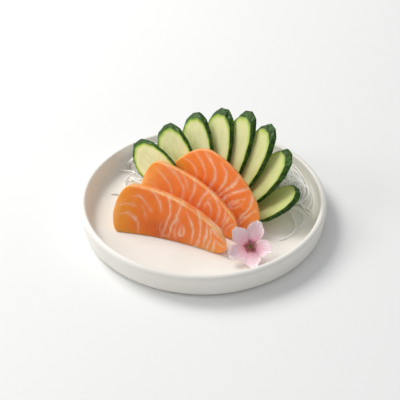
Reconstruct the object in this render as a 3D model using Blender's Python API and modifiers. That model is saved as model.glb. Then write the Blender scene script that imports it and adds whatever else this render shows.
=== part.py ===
"""Sashimi plate: a low round dish with three salmon slices, a fan of cucumber, a heap of daikon and a blossom.

Metres, +Z up, the foot of the dish on the ground at the origin and the diner on the -Y side.
"""

import bpy
import bmesh
from math import acos, atan2, cos, exp, pi, radians, sin, sqrt, tan
from mathutils import Matrix, Vector

MM = 0.001
COLLECTION = "sashimi_plate"

# Driving dimensions
PLATE_RADIUS = 90 * MM
PLATE_HEIGHT = 19 * MM
FLOOR_HEIGHT = 5 * MM
CONTACT_GAP = 0.3 * MM

# Dish wall
RIM_WIDTH = 4.6 * MM
RIM_OUTER_ROUND = 3.0 * MM
INNER_FILLET = 6.0 * MM
BASE_FILLET = 5.0 * MM
FOOT_INNER_RADIUS = 70 * MM
FOOT_RECESS = 1.2 * MM
ARC_STEPS = 4
TURN_STEPS = 64

# Salmon: name, heel and tip on the dish's floor in mm, height, thickness, bend, lean at heel and at tip in degrees
SALMON_SLICES = (
    ("salmon_front", (-66, -23.6), (19, -55.5), 37 * MM, 11.5 * MM, 3.5 * MM, 30, 18),
    ("salmon_middle", (-47, 9.5), (27, -43), 37 * MM, 11 * MM, 2 * MM, 22, 18),
    ("salmon_back", (-29, 21.5), (40, -38), 47 * MM, 9.5 * MM, 0.0, 22, 20),
)
HEEL_ROUND = 13 * MM
TIP_SHARE = 0.12
EDGE_BAND = 4 * MM

# Cucumber, shared by the eight slices
CUCUMBER_COUNT = 8
CUCUMBER_HALF_WIDTH = 14.8 * MM
CUCUMBER_THICKNESS = 3.5 * MM
CUCUMBER_SIDES = 26
CUT_SHEAR_SHARE = 0.8

# Daikon heap
HEAP_STATIONS = 26
HEAP_SIDES = 14
HEAP_CLEARANCE = 2.2 * MM
HEAP_MARGIN = 6 * MM
HEAP_RAMP = 45 * MM
HEAP_LEAST = 0.8 * MM

# Blossom
PETAL_COUNT = 5
PETAL_LENGTH = 17 * MM
PETAL_THICKNESS = 1.2 * MM
GAP_REACH = 0.42
NOTCH_DEPTH = 2 * MM
NOTCH_WIDTH = 0.09
BLOSSOM_CUP = 4 * MM
BLOSSOM_RISE_DEG = 52
BLOSSOM_SIDES = 50
BLOSSOM_RINGS = 7
FIRST_PETAL_DEG = -2
BLOSSOM_PLACE = Vector((33.0, -54.0, 13.0)) * MM

CERAMIC = ((0.84, 0.81, 0.77), 0.42)
SALMON = ((0.88, 0.33, 0.12), 0.35)
CUCUMBER = ((0.62, 0.70, 0.33), 0.4)
DAIKON = ((0.88, 0.88, 0.84), 0.45)
BLOSSOM = ((0.90, 0.62, 0.70), 0.55)


def clear_scene():
    for old in list(bpy.data.objects):
        bpy.data.objects.remove(old)


def new_collection(name):
    collection = bpy.data.collections.new(name)
    bpy.context.scene.collection.children.link(collection)
    return collection


def plain_material(name, look):
    """One Principled material from a colour and a roughness."""
    color, roughness = look
    material = bpy.data.materials.new(name)
    material.use_nodes = True
    shader = material.node_tree.nodes["Principled BSDF"]
    shader.inputs["Base Color"].default_value = (*color, 1.0)
    shader.inputs["Roughness"].default_value = roughness
    shader.inputs["Metallic"].default_value = 0.0
    return material


def add_part(collection, name, mesh, look):
    part = bpy.data.objects.new(name, mesh)
    mesh.materials.append(plain_material(name + "_material", look))
    collection.objects.link(part)
    return part


def mesh_from(bm, name):
    bm.normal_update()
    bmesh.ops.recalc_face_normals(bm, faces=bm.faces)
    mesh = bpy.data.meshes.new(name)
    bm.to_mesh(mesh)
    bm.free()
    return mesh


def subdivide(part, levels):
    modifier = part.modifiers.new("soft", "SUBSURF")
    modifier.levels = levels
    modifier.render_levels = levels


def arc(centre_x, centre_z, radius, start_deg, end_deg):
    """Points on an arc in the profile plane."""
    points = []
    for i in range(ARC_STEPS + 1):
        angle = radians(start_deg + (end_deg - start_deg) * i / ARC_STEPS)
        points.append((centre_x + radius * cos(angle), centre_z + radius * sin(angle)))
    return points


def plate(collection):
    """The dish: one turned profile, from the middle of its floor over the rim to the middle of its foot."""
    inner_radius = PLATE_RADIUS - RIM_WIDTH
    inner_round = RIM_WIDTH - RIM_OUTER_ROUND
    profile = [(0.0, FLOOR_HEIGHT)]
    profile += arc(inner_radius - INNER_FILLET, FLOOR_HEIGHT + INNER_FILLET, INNER_FILLET, -90, 0)
    profile += arc(inner_radius + inner_round, PLATE_HEIGHT - inner_round, inner_round, 180, 90)
    profile += arc(PLATE_RADIUS - RIM_OUTER_ROUND, PLATE_HEIGHT - RIM_OUTER_ROUND, RIM_OUTER_ROUND, 80, 0)
    profile += arc(PLATE_RADIUS - BASE_FILLET, BASE_FILLET, BASE_FILLET, 0, -90)
    profile += [(FOOT_INNER_RADIUS + FOOT_RECESS, 0.0), (FOOT_INNER_RADIUS, FOOT_RECESS), (0.0, FOOT_RECESS)]
    bm = bmesh.new()
    ring = [bm.verts.new((x, 0.0, z)) for x, z in profile]
    for a, b in zip(ring, ring[1:]):
        bm.edges.new((a, b))
    mesh = bpy.data.meshes.new("plate")
    bm.to_mesh(mesh)
    bm.free()
    part = add_part(collection, "plate", mesh, CERAMIC)
    turn = part.modifiers.new("turn", "SCREW")
    turn.axis = "Z"
    turn.angle = 2 * pi
    turn.steps = TURN_STEPS
    turn.render_steps = TURN_STEPS
    turn.use_merge_vertices = True
    turn.merge_threshold = 0.00001
    return part


def box_cage(cuts_x, cuts_y, cuts_z):
    """A unit cube from 0 to 1 each way, cut into a cage."""
    bm = bmesh.new()
    bmesh.ops.create_cube(bm, size=1.0, matrix=Matrix.Translation((0.5, 0.5, 0.5)))
    for axis, cuts in enumerate((cuts_x, cuts_y, cuts_z)):
        along = [e for e in bm.edges if abs((e.verts[0].co - e.verts[1].co)[axis]) > 0.5]
        bmesh.ops.subdivide_edges(bm, edges=along, cuts=cuts, use_grid_fill=True)
    return bm


def slice_outline(share, length, height):
    """Bottom and top of a slice's face at a share of its length: a round heel, a long fall and a blunt tip."""
    top = height * (1 - 0.55 * share**2.4)
    bottom = 0.0
    middle = 0.47 * height
    heel = min(share * length / HEEL_ROUND, 1.0)
    swell = sqrt(1 - (1 - heel) ** 2)
    top = middle + (top - middle) * (0.34 + 0.66 * swell)
    bottom = middle + (bottom - middle) * (0.42 + 0.58 * min(1.5 * swell, 1.0))
    tip = max(0.0, (share - (1 - TIP_SHARE)) / TIP_SHARE)
    tip_height = 0.2 * height
    top += (tip_height + 2 * MM - top) * tip**2
    bottom += (tip_height - 3 * MM - bottom) * tip**1.5
    return bottom, top


def salmon_slice(collection, name, heel, tip, height, thickness, bend, heel_lean, tip_lean):
    """A slice that stands on its long edge from heel to tip and leans back, more at its heel."""
    run = Vector((tip[0] - heel[0], tip[1] - heel[1], 0.0))
    length = run.length
    along = run.normalized()
    back = Vector((-along.y, along.x, 0.0))
    bm = box_cage(11, 1, 3)
    for vert in bm.verts:
        share, depth, rise = vert.co
        bottom, top = slice_outline(share, length, height)
        top -= EDGE_BAND * (1 - depth)
        lift = bottom + (top - bottom) * rise
        lean = radians(heel_lean + (tip_lean - heel_lean) * share)
        thin = 1 - 0.25 * abs(2 * share - 0.9) ** 3
        up = back * sin(lean) + Vector((0, 0, cos(lean)))
        inward = back * cos(lean) - Vector((0, 0, sin(lean)))
        place = Vector((heel[0], heel[1], FLOOR_HEIGHT + CONTACT_GAP)) + along * (length * share)
        place += back * (bend * sin(pi * share)) + up * lift + inward * (depth * thickness * thin)
        place.z = max(place.z, FLOOR_HEIGHT + CONTACT_GAP)
        vert.co = place
    part = add_part(collection, name, mesh_from(bm, name), SALMON)
    subdivide(part, 1)
    return part


def run_through(values, share):
    """A smooth run through four values at 0, 1/3, 2/3 and 1."""
    stops = (0.0, 1 / 3, 2 / 3, 1.0)
    total = 0.0
    for i, value in enumerate(values):
        weight = 1.0
        for j, stop in enumerate(stops):
            if j != i:
                weight *= (share - stop) / (stops[i] - stop)
        total += value * weight
    return total


def cucumber_frame(share):
    """Centre, long way, cross way and outward way of a slice at a share of the fan, its half length and slant."""
    centre = Vector((
        run_through((-35.5, 0.0, 29.5, 51.0), share),
        run_through((28.5, 40.0, 23.5, -10.5), share),
        run_through((21.5, 29.0, 32.5, 18.5), share),
    )) * MM
    facing = radians(run_through((-40, -34, -50, -46), share))
    lean = radians(run_through((28, 33, 27, 44), share))
    splay = radians(run_through((-76, -22, 7, 34), share))
    twist = radians(run_through((8, 15, 13, 34), share))
    half_length = run_through((25.5, 27.5, 30.0, 18.5), share) * MM
    turn = Matrix.Rotation(facing, 3, "Z")
    outward = turn @ Vector((0, -cos(lean), sin(lean)))
    upward = turn @ Vector((0, sin(lean), cos(lean)))
    sideways = turn @ Vector((1, 0, 0))
    long_way = upward * cos(splay) + sideways * sin(splay)
    cross_way = sideways * cos(splay) - upward * sin(splay)
    face_way = outward * cos(twist) - cross_way * sin(twist)
    cross_way = cross_way * cos(twist) + outward * sin(twist)
    slant = CUT_SHEAR_SHARE * tan(acos(CUCUMBER_HALF_WIDTH / half_length))
    return centre, long_way, cross_way, face_way, half_length, slant


def cucumber_slice(collection, index):
    """An oval slice cut aslant from the cucumber, so its peel slopes back past the top of its face."""
    centre, long_way, cross_way, face_way, half_length, slant = cucumber_frame(index / (CUCUMBER_COUNT - 1))
    bm = bmesh.new()
    bmesh.ops.create_cone(bm, cap_ends=True, segments=CUCUMBER_SIDES, radius1=1.0, radius2=1.0, depth=1.0)
    for vert in bm.verts:
        x, y, z = vert.co
        depth = (0.5 - z) * CUCUMBER_THICKNESS
        flat = long_way * (y * half_length + depth * slant) + cross_way * (x * CUCUMBER_HALF_WIDTH)
        vert.co = centre + flat - face_way * depth
    name = f"cucumber_slice_{index + 1}"
    part = add_part(collection, name, mesh_from(bm, name), CUCUMBER)
    bevel = part.modifiers.new("cut_edge", "BEVEL")
    bevel.width = 0.35 * MM
    bevel.segments = 1
    bevel.limit_method = "ANGLE"
    return part


def heap_section(share):
    """Middle of the heap's foot, its half width and its height at a share of its length."""
    middle = Vector((
        run_through((-52, -23, 30, 67), share),
        run_through((46, 54, 49, 8), share),
        0.0,
    )) * MM
    fullness = sqrt(sin(pi * (0.02 + 0.96 * share)))
    return middle, (4 + 11 * fullness) * MM, (4 + 20 * fullness) * MM


def heap_bump(share, around):
    """The uneven outline of heaped shreds."""
    return 1 + 0.06 * sin(31 * share + 2.3 * around) + 0.05 * sin(17 * share - 3.1 * around + 1.0)


def headroom(place):
    """Height under the back of the fan's lowest slice above a place, less a gap."""
    lowest = PLATE_RADIUS
    for index in range(CUCUMBER_COUNT):
        centre, long_way, cross_way, face_way, half_length, slant = cucumber_frame(index / (CUCUMBER_COUNT - 1))
        back = centre + long_way * (CUCUMBER_THICKNESS * slant) - face_way * (CUCUMBER_THICKNESS + HEAP_CLEARANCE)
        height = back.z - (place - back).xy.dot(face_way.xy) / face_way.z
        reach = Vector((place.x, place.y, height)) - back
        along = reach.dot(long_way) / (half_length + HEAP_MARGIN)
        across = reach.dot(cross_way) / (CUCUMBER_HALF_WIDTH + HEAP_MARGIN)
        clear_of_it = max(0.0, sqrt(along**2 + across**2) - 1)
        lowest = min(lowest, height + HEAP_RAMP * clear_of_it)
    return lowest


def daikon_heap(collection):
    """Shredded daikon, as one crescent under and behind the fan."""
    foot = FLOOR_HEIGHT + CONTACT_GAP
    bm = bmesh.new()
    rings = []
    for i in range(HEAP_STATIONS + 1):
        share = i / HEAP_STATIONS
        middle, half_width, height = heap_section(share)
        ahead = heap_section(min(share + 0.01, 1.0))[0] - heap_section(max(share - 0.01, 0.0))[0]
        across = Vector((-ahead.y, ahead.x, 0.0)).normalized()
        ring = []
        for j in range(HEAP_SIDES + 1):
            around = pi * j / HEAP_SIDES
            reach = heap_bump(share, around)
            place = middle + across * (half_width * cos(around) * reach)
            place.z = foot
            if 0 < j < HEAP_SIDES:
                place.z += height * sin(around) * reach
                place.z = max(min(place.z, headroom(place)), foot + HEAP_LEAST)
            ring.append(bm.verts.new(place))
        rings.append(ring)
    for a, b in zip(rings, rings[1:]):
        for j in range(HEAP_SIDES):
            bm.faces.new((a[j], b[j], b[j + 1], a[j + 1]))
        bm.faces.new((a[HEAP_SIDES], b[HEAP_SIDES], b[0], a[0]))
    bm.faces.new(rings[0])
    bm.faces.new(rings[-1])
    return add_part(collection, "daikon_heap", mesh_from(bm, "daikon_heap"), DAIKON)


def petal_reach(angle):
    """How far the blossom reaches at an angle: five lobes with a notch in the end of each."""
    off_axis = (angle * PETAL_COUNT / (2 * pi) + 0.5) % 1.0 - 0.5
    lobe = cos(pi * off_axis) ** 0.45
    notch = exp(-((off_axis / NOTCH_WIDTH) ** 2))
    return PETAL_LENGTH * (GAP_REACH + (1 - GAP_REACH) * lobe) - NOTCH_DEPTH * notch


def blossom(collection):
    """Five notched petals as one shallow cup, tipped back onto the tips of the salmon."""
    bm = bmesh.new()
    bmesh.ops.create_uvsphere(bm, u_segments=BLOSSOM_SIDES, v_segments=BLOSSOM_RINGS, radius=1.0)
    tip = Matrix.Rotation(radians(90 - BLOSSOM_RISE_DEG), 3, "X")
    for vert in bm.verts:
        spread = min(vert.co.xy.length, 1.0)
        angle = atan2(vert.co.y, vert.co.x)
        out = spread * petal_reach(angle)
        side = vert.co.z
        height = BLOSSOM_CUP * spread**2 + 0.5 * PETAL_THICKNESS * side
        turned = angle + radians(FIRST_PETAL_DEG)
        vert.co = tip @ Vector((out * cos(turned), out * sin(turned), height)) + BLOSSOM_PLACE
    return add_part(collection, "blossom", mesh_from(bm, "blossom"), BLOSSOM)


def main():
    clear_scene()
    collection = new_collection(COLLECTION)
    plate(collection)
    for name, heel, tip, *sizes in SALMON_SLICES:
        salmon_slice(collection, name, Vector(heel) * MM, Vector(tip) * MM, *sizes)
    for index in range(CUCUMBER_COUNT):
        cucumber_slice(collection, index)
    daikon_heap(collection)
    blossom(collection)


main()
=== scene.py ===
"""Looks of a sashimi plate: a low ceramic dish with salmon, a fan of cucumber, daikon and a blossom.

Every surface is a grid of points worked out as whole arrays. The frame is in metres, and a shape is in
millimetres until it is multiplied by MM. +Z is up and the diner sits on the -Y side.
"""

from math import acos, cos, pi, radians, sin, sqrt, tan

import bpy
import numpy as np
from mathutils import Matrix, Vector


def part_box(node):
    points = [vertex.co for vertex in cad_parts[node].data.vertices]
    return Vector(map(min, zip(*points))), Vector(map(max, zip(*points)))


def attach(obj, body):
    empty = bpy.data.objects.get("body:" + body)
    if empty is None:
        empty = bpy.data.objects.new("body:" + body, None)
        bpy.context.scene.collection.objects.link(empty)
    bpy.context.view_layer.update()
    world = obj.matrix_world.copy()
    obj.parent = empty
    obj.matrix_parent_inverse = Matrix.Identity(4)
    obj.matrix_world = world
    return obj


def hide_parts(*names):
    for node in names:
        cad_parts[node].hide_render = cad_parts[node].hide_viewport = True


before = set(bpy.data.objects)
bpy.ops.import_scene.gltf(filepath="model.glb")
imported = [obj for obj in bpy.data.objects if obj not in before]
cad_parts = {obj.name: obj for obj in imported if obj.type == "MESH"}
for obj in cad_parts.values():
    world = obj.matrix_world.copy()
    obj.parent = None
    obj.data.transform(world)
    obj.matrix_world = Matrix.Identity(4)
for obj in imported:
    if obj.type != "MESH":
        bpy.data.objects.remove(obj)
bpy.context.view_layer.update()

MM = 0.001
UP = np.array([0.0, 0.0, 1.0])

DISH_LOW, DISH_HIGH = (np.array(corner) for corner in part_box("plate"))
DISH_RADIUS = 0.5 * (DISH_HIGH[0] - DISH_LOW[0])
DISH_HEIGHT = DISH_HIGH[2]

# The food stands a hair above the dish's floor. FOOD_BASE is that height in mm.
FOOD_GAP = 0.3
FLOOR_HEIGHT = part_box("salmon_front")[0][2] - FOOD_GAP * MM
FOOD_BASE = FLOOR_HEIGHT / MM + FOOD_GAP


# Meshes from arrays


def signed_volume(points, faces):
    """Six times the volume held, from the corner products of a fan of triangles over each face."""
    total = 0.0
    for k in range(1, faces.shape[1] - 1):
        a, b, c = points[faces[:, 0]], points[faces[:, k]], points[faces[:, k + 1]]
        total += np.einsum("ij,ij->i", a, np.cross(b, c)).sum()
    return total


def add_object(name, data):
    """A new object in the scene, at the origin."""
    holder = bpy.data.objects.new(name, data)
    bpy.context.scene.collection.objects.link(holder)
    return holder


def put_mesh(name, skin, material):
    """A smooth mesh from a skin: its points, quads, triangles, and one number a point for each field.

    The faces are turned round if the volume that they hold comes out negative.
    """
    points, quads, triangles, fields = skin
    middle = points.mean(axis=0)
    if signed_volume(points - middle, quads) + signed_volume(points - middle, triangles) < 0:
        quads = quads[:, ::-1]
        triangles = triangles[:, ::-1]
    corners = np.concatenate([quads.ravel(), triangles.ravel()]).astype(np.int32)
    sizes = np.concatenate([np.full(len(quads), 4), np.full(len(triangles), 3)])
    starts = np.concatenate([[0], np.cumsum(sizes)[:-1]]).astype(np.int32)
    mesh = bpy.data.meshes.new(name)
    mesh.vertices.add(len(points))
    mesh.vertices.foreach_set("co", points.astype(np.float32).ravel())
    mesh.loops.add(len(corners))
    mesh.loops.foreach_set("vertex_index", corners)
    mesh.polygons.add(len(sizes))
    mesh.polygons.foreach_set("loop_start", starts)
    mesh.update(calc_edges=True)
    mesh.polygons.foreach_set("use_smooth", np.ones(len(sizes), dtype=bool))
    for field, values in fields.items():
        layer = mesh.attributes.new(field, "FLOAT", "POINT")
        layer.data.foreach_set("value", values.astype(np.float32).ravel())
    mesh.materials.append(material)
    return add_object(name, mesh)


def ring_quads(rows, columns):
    """Quads between neighbouring rows of a grid whose columns close round on themselves."""
    row = np.arange(rows - 1)[:, None] * columns
    here = np.arange(columns)[None, :]
    after = (here + 1) % columns
    corners = [row + here, row + after, row + columns + after, row + columns + here]
    return np.stack(corners, axis=-1).reshape(-1, 4)


def closed_skin(rings, fields):
    """The skin of a run of rings that close round, with a middle point that shuts each end."""
    rows, columns = rings.shape[:2]
    points = np.concatenate([rings.reshape(-1, 3), rings[:1].mean(axis=1), rings[-1:].mean(axis=1)])
    here = np.arange(columns)
    after = (here + 1) % columns
    last = (rows - 1) * columns
    start = np.stack([after, here, np.full(columns, rows * columns)], axis=-1)
    end = np.stack([last + here, last + after, np.full(columns, rows * columns + 1)], axis=-1)
    full = {}
    for name, values in fields.items():
        full[name] = np.concatenate([values.ravel(), [values[0].mean(), values[-1].mean()]])
    return points, ring_quads(rows, columns), np.concatenate([start, end]), full


def joined(skins):
    """Several skins as one."""
    shift = 0
    points, quads, triangles = [], [], []
    fields = {name: [] for name in skins[0][3]}
    for skin_points, skin_quads, skin_triangles, skin_fields in skins:
        points.append(skin_points)
        quads.append(skin_quads + shift)
        triangles.append(skin_triangles + shift)
        for name, values in skin_fields.items():
            fields[name].append(values)
        shift += len(skin_points)
    gathered = {name: np.concatenate(values) for name, values in fields.items()}
    return np.concatenate(points), np.concatenate(quads), np.concatenate(triangles), gathered


def ripple(points, size, seed, waves=7):
    """Smooth unevenness from -1 to 1: a sum of sine waves of about one length in seeded directions."""
    draw = np.random.default_rng(seed)
    ways = draw.normal(size=(waves, 3))
    spread = draw.uniform(0.6, 1.4, (waves, 1))
    ways *= (2 * pi / size) * spread / np.linalg.norm(ways, axis=1, keepdims=True)
    shifts = draw.uniform(0, 2 * pi, waves)
    return np.sin(points @ ways.T + shifts).sum(axis=-1) / sqrt(2.0 * waves)


def ease(low, high, value):
    """A smooth step from 0 at low to 1 at high: 3 s^2 - 2 s^3 of the share s between them."""
    share = np.clip((value - low) / (high - low), 0.0, 1.0)
    return share * share * (3 - 2 * share)


def bell(value, width):
    """A bell-shaped bump, 1 at 0: e to the power of -(value / width)^2."""
    return np.exp(-((value / width) ** 2))


def quarter(value, start, end):
    """A quarter of an ellipse: 0 at start, rising steeply and levelling to 1 at end."""
    share = np.clip((value - start) / (end - start), 0.0, 1.0)
    return np.sqrt(np.clip(1 - (1 - share) ** 2, 0.0, 1.0))


def run_through(values, share):
    """The cubic through four values at 0, 1/3, 2/3 and 1, as a sum of Lagrange weights."""
    stops = (0.0, 1 / 3, 2 / 3, 1.0)
    total = 0.0
    for i, value in enumerate(values):
        weight = 1.0
        for j, stop in enumerate(stops):
            if j != i:
                weight = weight * (share - stop) / (stops[i] - stop)
        total = total + value * weight
    return total


def turn_about_z(angle):
    """The matrix that turns a column of x, y and z about Z by an angle in radians."""
    return np.array([[cos(angle), -sin(angle), 0], [sin(angle), cos(angle), 0], [0, 0, 1]])


# Materials


def shade(chip):
    """A linear colour from the screen values of a paint chip, 0 to 255, by the usual screen curve."""
    chip = np.array(chip) / 255
    linear = np.where(chip <= 0.04045, chip / 12.92, ((chip + 0.055) / 1.055) ** 2.4)
    return (*(float(value) for value in linear), 1.0)


class Nodes:
    """Short ways to add and join the nodes of one material."""

    def __init__(self, name):
        """A new material with a Principled shader wired to its output."""
        self.material = bpy.data.materials.new(name)
        self.material.use_nodes = True
        self.tree = self.material.node_tree
        self.tree.nodes.clear()
        self.shader = self.add("ShaderNodeBsdfPrincipled")
        output = self.add("ShaderNodeOutputMaterial")
        self.tree.links.new(self.shader.outputs[0], output.inputs[0])

    def add(self, kind, **settings):
        """A new node of a kind with its settings."""
        node = self.tree.nodes.new(kind)
        for key, value in settings.items():
            setattr(node, key, value)
        return node

    def feed(self, socket, value):
        """Links a socket to another node's output, or sets it to a number or to a paint chip's colour."""
        if isinstance(value, bpy.types.NodeSocket):
            self.tree.links.new(value, socket)
        elif socket.type == "RGBA":
            socket.default_value = shade(value)
        else:
            socket.default_value = value

    def field(self, name):
        """The piece's own field of this name."""
        return self.add("ShaderNodeAttribute", attribute_name=name).outputs["Fac"]

    def place(self):
        """Places on the piece in its own frame, in metres."""
        return self.add("ShaderNodeTexCoord").outputs["Object"]

    def noise(self, scale, detail=3.0, roughness=0.5, stretch=None):
        """Noise with so many lumps a metre, drawn out along an axis whose stretch is below 1."""
        node = self.add("ShaderNodeTexNoise")
        node.inputs["Scale"].default_value = scale
        node.inputs["Detail"].default_value = detail
        node.inputs["Roughness"].default_value = roughness
        place = self.place()
        if stretch:
            mapping = self.add("ShaderNodeMapping")
            mapping.inputs["Scale"].default_value = stretch
            self.feed(mapping.inputs["Vector"], place)
            place = mapping.outputs[0]
        self.feed(node.inputs["Vector"], place)
        return node.outputs["Fac"]

    def span(self, value, low, high, to_low=0.0, to_high=1.0):
        """A smooth step from to_low where the value is low to to_high where it is high."""
        node = self.add("ShaderNodeMapRange", interpolation_type="SMOOTHSTEP")
        for socket, number in zip(node.inputs[1:5], (low, high, to_low, to_high)):
            socket.default_value = number
        self.feed(node.inputs["Value"], value)
        return node.outputs[0]

    def cloud(self, scale, detail, low=0.0, high=1.0):
        """Soft clouds from low to high."""
        return self.span(self.noise(scale, detail), 0.3, 0.7, low, high)

    def combine(self, kind, first, second):
        """Two values put together by a kind of sum."""
        node = self.add("ShaderNodeMath", operation=kind)
        self.feed(node.inputs[0], first)
        self.feed(node.inputs[1], second)
        return node.outputs[0]

    def times(self, first, second):
        """The product of two values."""
        return self.combine("MULTIPLY", first, second)

    def plus(self, first, second):
        """The sum of two values."""
        return self.combine("ADD", first, second)

    def mix(self, share, first, second):
        """The first colour where the share is 0 and the second where it is 1."""
        node = self.add("ShaderNodeMix", data_type="RGBA")
        self.feed(node.inputs["Factor"], share)
        self.feed(node.inputs["A"], first)
        self.feed(node.inputs["B"], second)
        return node.outputs["Result"]

    def ramp(self, value, stops):
        """A colour that changes steadily through the stops, each a place from 0 to 1 and a chip."""
        node = self.add("ShaderNodeValToRGB")
        band = node.color_ramp
        while len(band.elements) < len(stops):
            band.elements.new(0.5)
        for element, (position, chip) in zip(band.elements, stops):
            element.position = position
            element.color = shade(chip)
        self.feed(node.inputs["Fac"], value)
        return node.outputs["Color"]

    def bump(self, height, distance):
        """Relief of the shader's surface: a height of 1 stands this distance proud, in metres."""
        node = self.add("ShaderNodeBump")
        node.inputs["Distance"].default_value = distance
        self.feed(node.inputs["Height"], height)
        self.feed(self.shader.inputs["Normal"], node.outputs["Normal"])

    def finish(self, **sockets):
        """Feeds the shader's sockets, named with _ for each space, and gives the material."""
        for name, value in sockets.items():
            self.feed(self.shader.inputs[name.replace("_", " ")], value)
        return self.material


def matte_glaze():
    """Warm white matte glaze: faint clouding, pin-prick specks and an orange-peel surface."""
    nodes = Nodes("matte_glaze")
    base = nodes.mix(nodes.cloud(24, 4), (238, 234, 226), (243, 240, 233))
    specks = nodes.span(nodes.noise(1900, 1), 0.72, 0.80)
    base = nodes.mix(nodes.times(specks, 0.18), base, (196, 186, 168))
    relief = nodes.plus(nodes.noise(420, 2), nodes.times(nodes.noise(60, 2), 2.0))
    nodes.bump(relief, 0.00006)
    roughness = nodes.cloud(90, 3, 0.42, 0.52)
    return nodes.finish(
        Base_Color=base, Roughness=roughness, Specular_IOR_Level=0.4, Coat_Weight=0.08, Coat_Roughness=0.35,
    )


def raw_salmon():
    """Moist orange fish, yellow at the heel, with pale fat lines. Painted glow pales the very heel, painted
    shade darkens the lower middle of each face, and a pale band of painted light runs along the top edge.
    """
    nodes = Nodes("raw_salmon")
    # Yellow at the heel and redder along the slice. The pale first stop, at the very heel, is painted glow
    # of light shining through the thin edge.
    body = nodes.ramp(nodes.field("along"), [
        (0.0, (255, 200, 100)), (0.07, (255, 168, 44)), (0.20, (255, 132, 28)),
        (0.5, (254, 120, 32)), (0.8, (254, 128, 46)), (1.0, (255, 152, 72)),
    ])
    cloud = nodes.span(nodes.noise(75, 4, 0.55), 0.3, 0.7)
    body = nodes.mix(nodes.times(cloud, 0.35), body, (252, 146, 50))
    # Paler by each slice's own share, and paler still over the first few mm of the heel, where it is painted
    # glow of light through the thin edge.
    body = nodes.mix(nodes.field("light"), body, (255, 180, 108))
    # Painted shade: a darker red low in the middle of each face, where the face turns under, away from the
    # light.
    painted_low_shade = nodes.times(nodes.field("painted_low_shade"), nodes.span(nodes.noise(110, 3), 0.25, 0.75, 0.5, 1.0))
    body = nodes.mix(painted_low_shade, body, (196, 78, 30))
    grain = nodes.span(nodes.noise(900, 3, 0.6, (1.0, 1.0, 0.35)), 0.45, 0.75)
    body = nodes.mix(nodes.times(grain, 0.16), body, (250, 176, 120))
    fat = nodes.times(nodes.field("fat"), nodes.span(nodes.noise(260, 3), 0.28, 0.62, 0.45, 1.0))
    color = nodes.mix(fat, body, (252, 204, 172))
    broad = nodes.span(nodes.noise(70, 2), 0.3, 0.65, 0.35, 1.0)
    fine = nodes.span(nodes.noise(330, 3), 0.25, 0.6, 0.4, 1.0)
    # Painted light: a pale, broken band along the top edge, which catches the lamp from behind.
    patches = nodes.times(broad, fine)
    rim = nodes.times(nodes.field("rim"), patches)
    color = nodes.mix(rim, color, (250, 200, 146))
    fibre = nodes.noise(700, 2, 0.5, (1.0, 1.0, 0.3))
    height = nodes.plus(nodes.times(fibre, 0.5), nodes.times(fat, -0.7))
    nodes.bump(height, 0.00025)
    roughness = nodes.cloud(150, 2, 0.30, 0.46)
    return nodes.finish(
        Base_Color=color, Roughness=roughness,
        Specular_IOR_Level=0.35, Coat_Weight=0.08, Coat_Roughness=0.22,
        Subsurface_Weight=0.6, Subsurface_Radius=(0.0085, 0.0028, 0.0010), Subsurface_Scale=1.0,
    )


def cucumber_skin():
    """Cut cucumber: pale watery flesh, seeds, a greener rim under the peel, and a knobbly dark peel whose
    knobs are paler, partly with painted sheen.
    """
    nodes = Nodes("cut_cucumber")
    flesh = nodes.ramp(nodes.field("outward"), [
        (0.0, (234, 236, 182)), (0.45, (246, 245, 200)), (0.84, (243, 244, 188)),
        (0.92, (200, 220, 104)), (0.965, (112, 166, 34)), (1.0, (44, 92, 8)),
    ])
    water = nodes.span(nodes.noise(260, 3, 0.6, (1.0, 1.0, 0.4)), 0.35, 0.7)
    flesh = nodes.mix(nodes.times(water, 0.2), flesh, (206, 208, 132))
    flesh = nodes.mix(nodes.times(nodes.field("seed"), 0.75), flesh, (240, 238, 186))
    flesh = nodes.mix(nodes.times(nodes.field("gel"), 0.22), flesh, (196, 206, 112))
    flesh = nodes.mix(nodes.field("green"), flesh, (188, 198, 116))
    mottle = nodes.span(nodes.noise(420, 4, 0.6), 0.32, 0.72)
    peel = nodes.mix(mottle, (18, 46, 6), (60, 106, 14))
    # Paler grey-green on the raised knobs: partly the peel's own paler bumps, partly painted sheen.
    pale_knobs_and_sheen = nodes.span(nodes.noise(170, 3, 0.6), 0.45, 0.75, 0.0, 0.5)
    peel = nodes.mix(nodes.times(pale_knobs_and_sheen, nodes.field("knob")), peel, (116, 142, 84))
    color = nodes.mix(nodes.field("peel"), flesh, peel)
    height = nodes.plus(nodes.noise(1100, 2), nodes.times(nodes.field("seed"), 0.8))
    nodes.bump(height, 0.00012)
    roughness = nodes.cloud(300, 2, 0.30, 0.44)
    roughness = nodes.plus(roughness, nodes.times(nodes.field("peel"), 0.14))
    return nodes.finish(
        Base_Color=color, Roughness=roughness, Specular_IOR_Level=0.27,
        Subsurface_Weight=0.18, Subsurface_Radius=(0.0012, 0.0014, 0.0005), Subsurface_Scale=1.0,
    )


def daikon_flesh():
    """White radish with faint clouding and a fine fibrous surface."""
    nodes = Nodes("daikon_shreds")
    fibre = nodes.span(nodes.noise(650, 3, 0.6), 0.3, 0.7)
    color = nodes.mix(fibre, (246, 246, 241), (254, 254, 251))
    nodes.bump(nodes.noise(1500, 2), 0.00008)
    roughness = nodes.cloud(400, 2, 0.34, 0.5)
    return nodes.finish(Base_Color=color, Roughness=roughness, Specular_IOR_Level=0.4)


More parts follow.
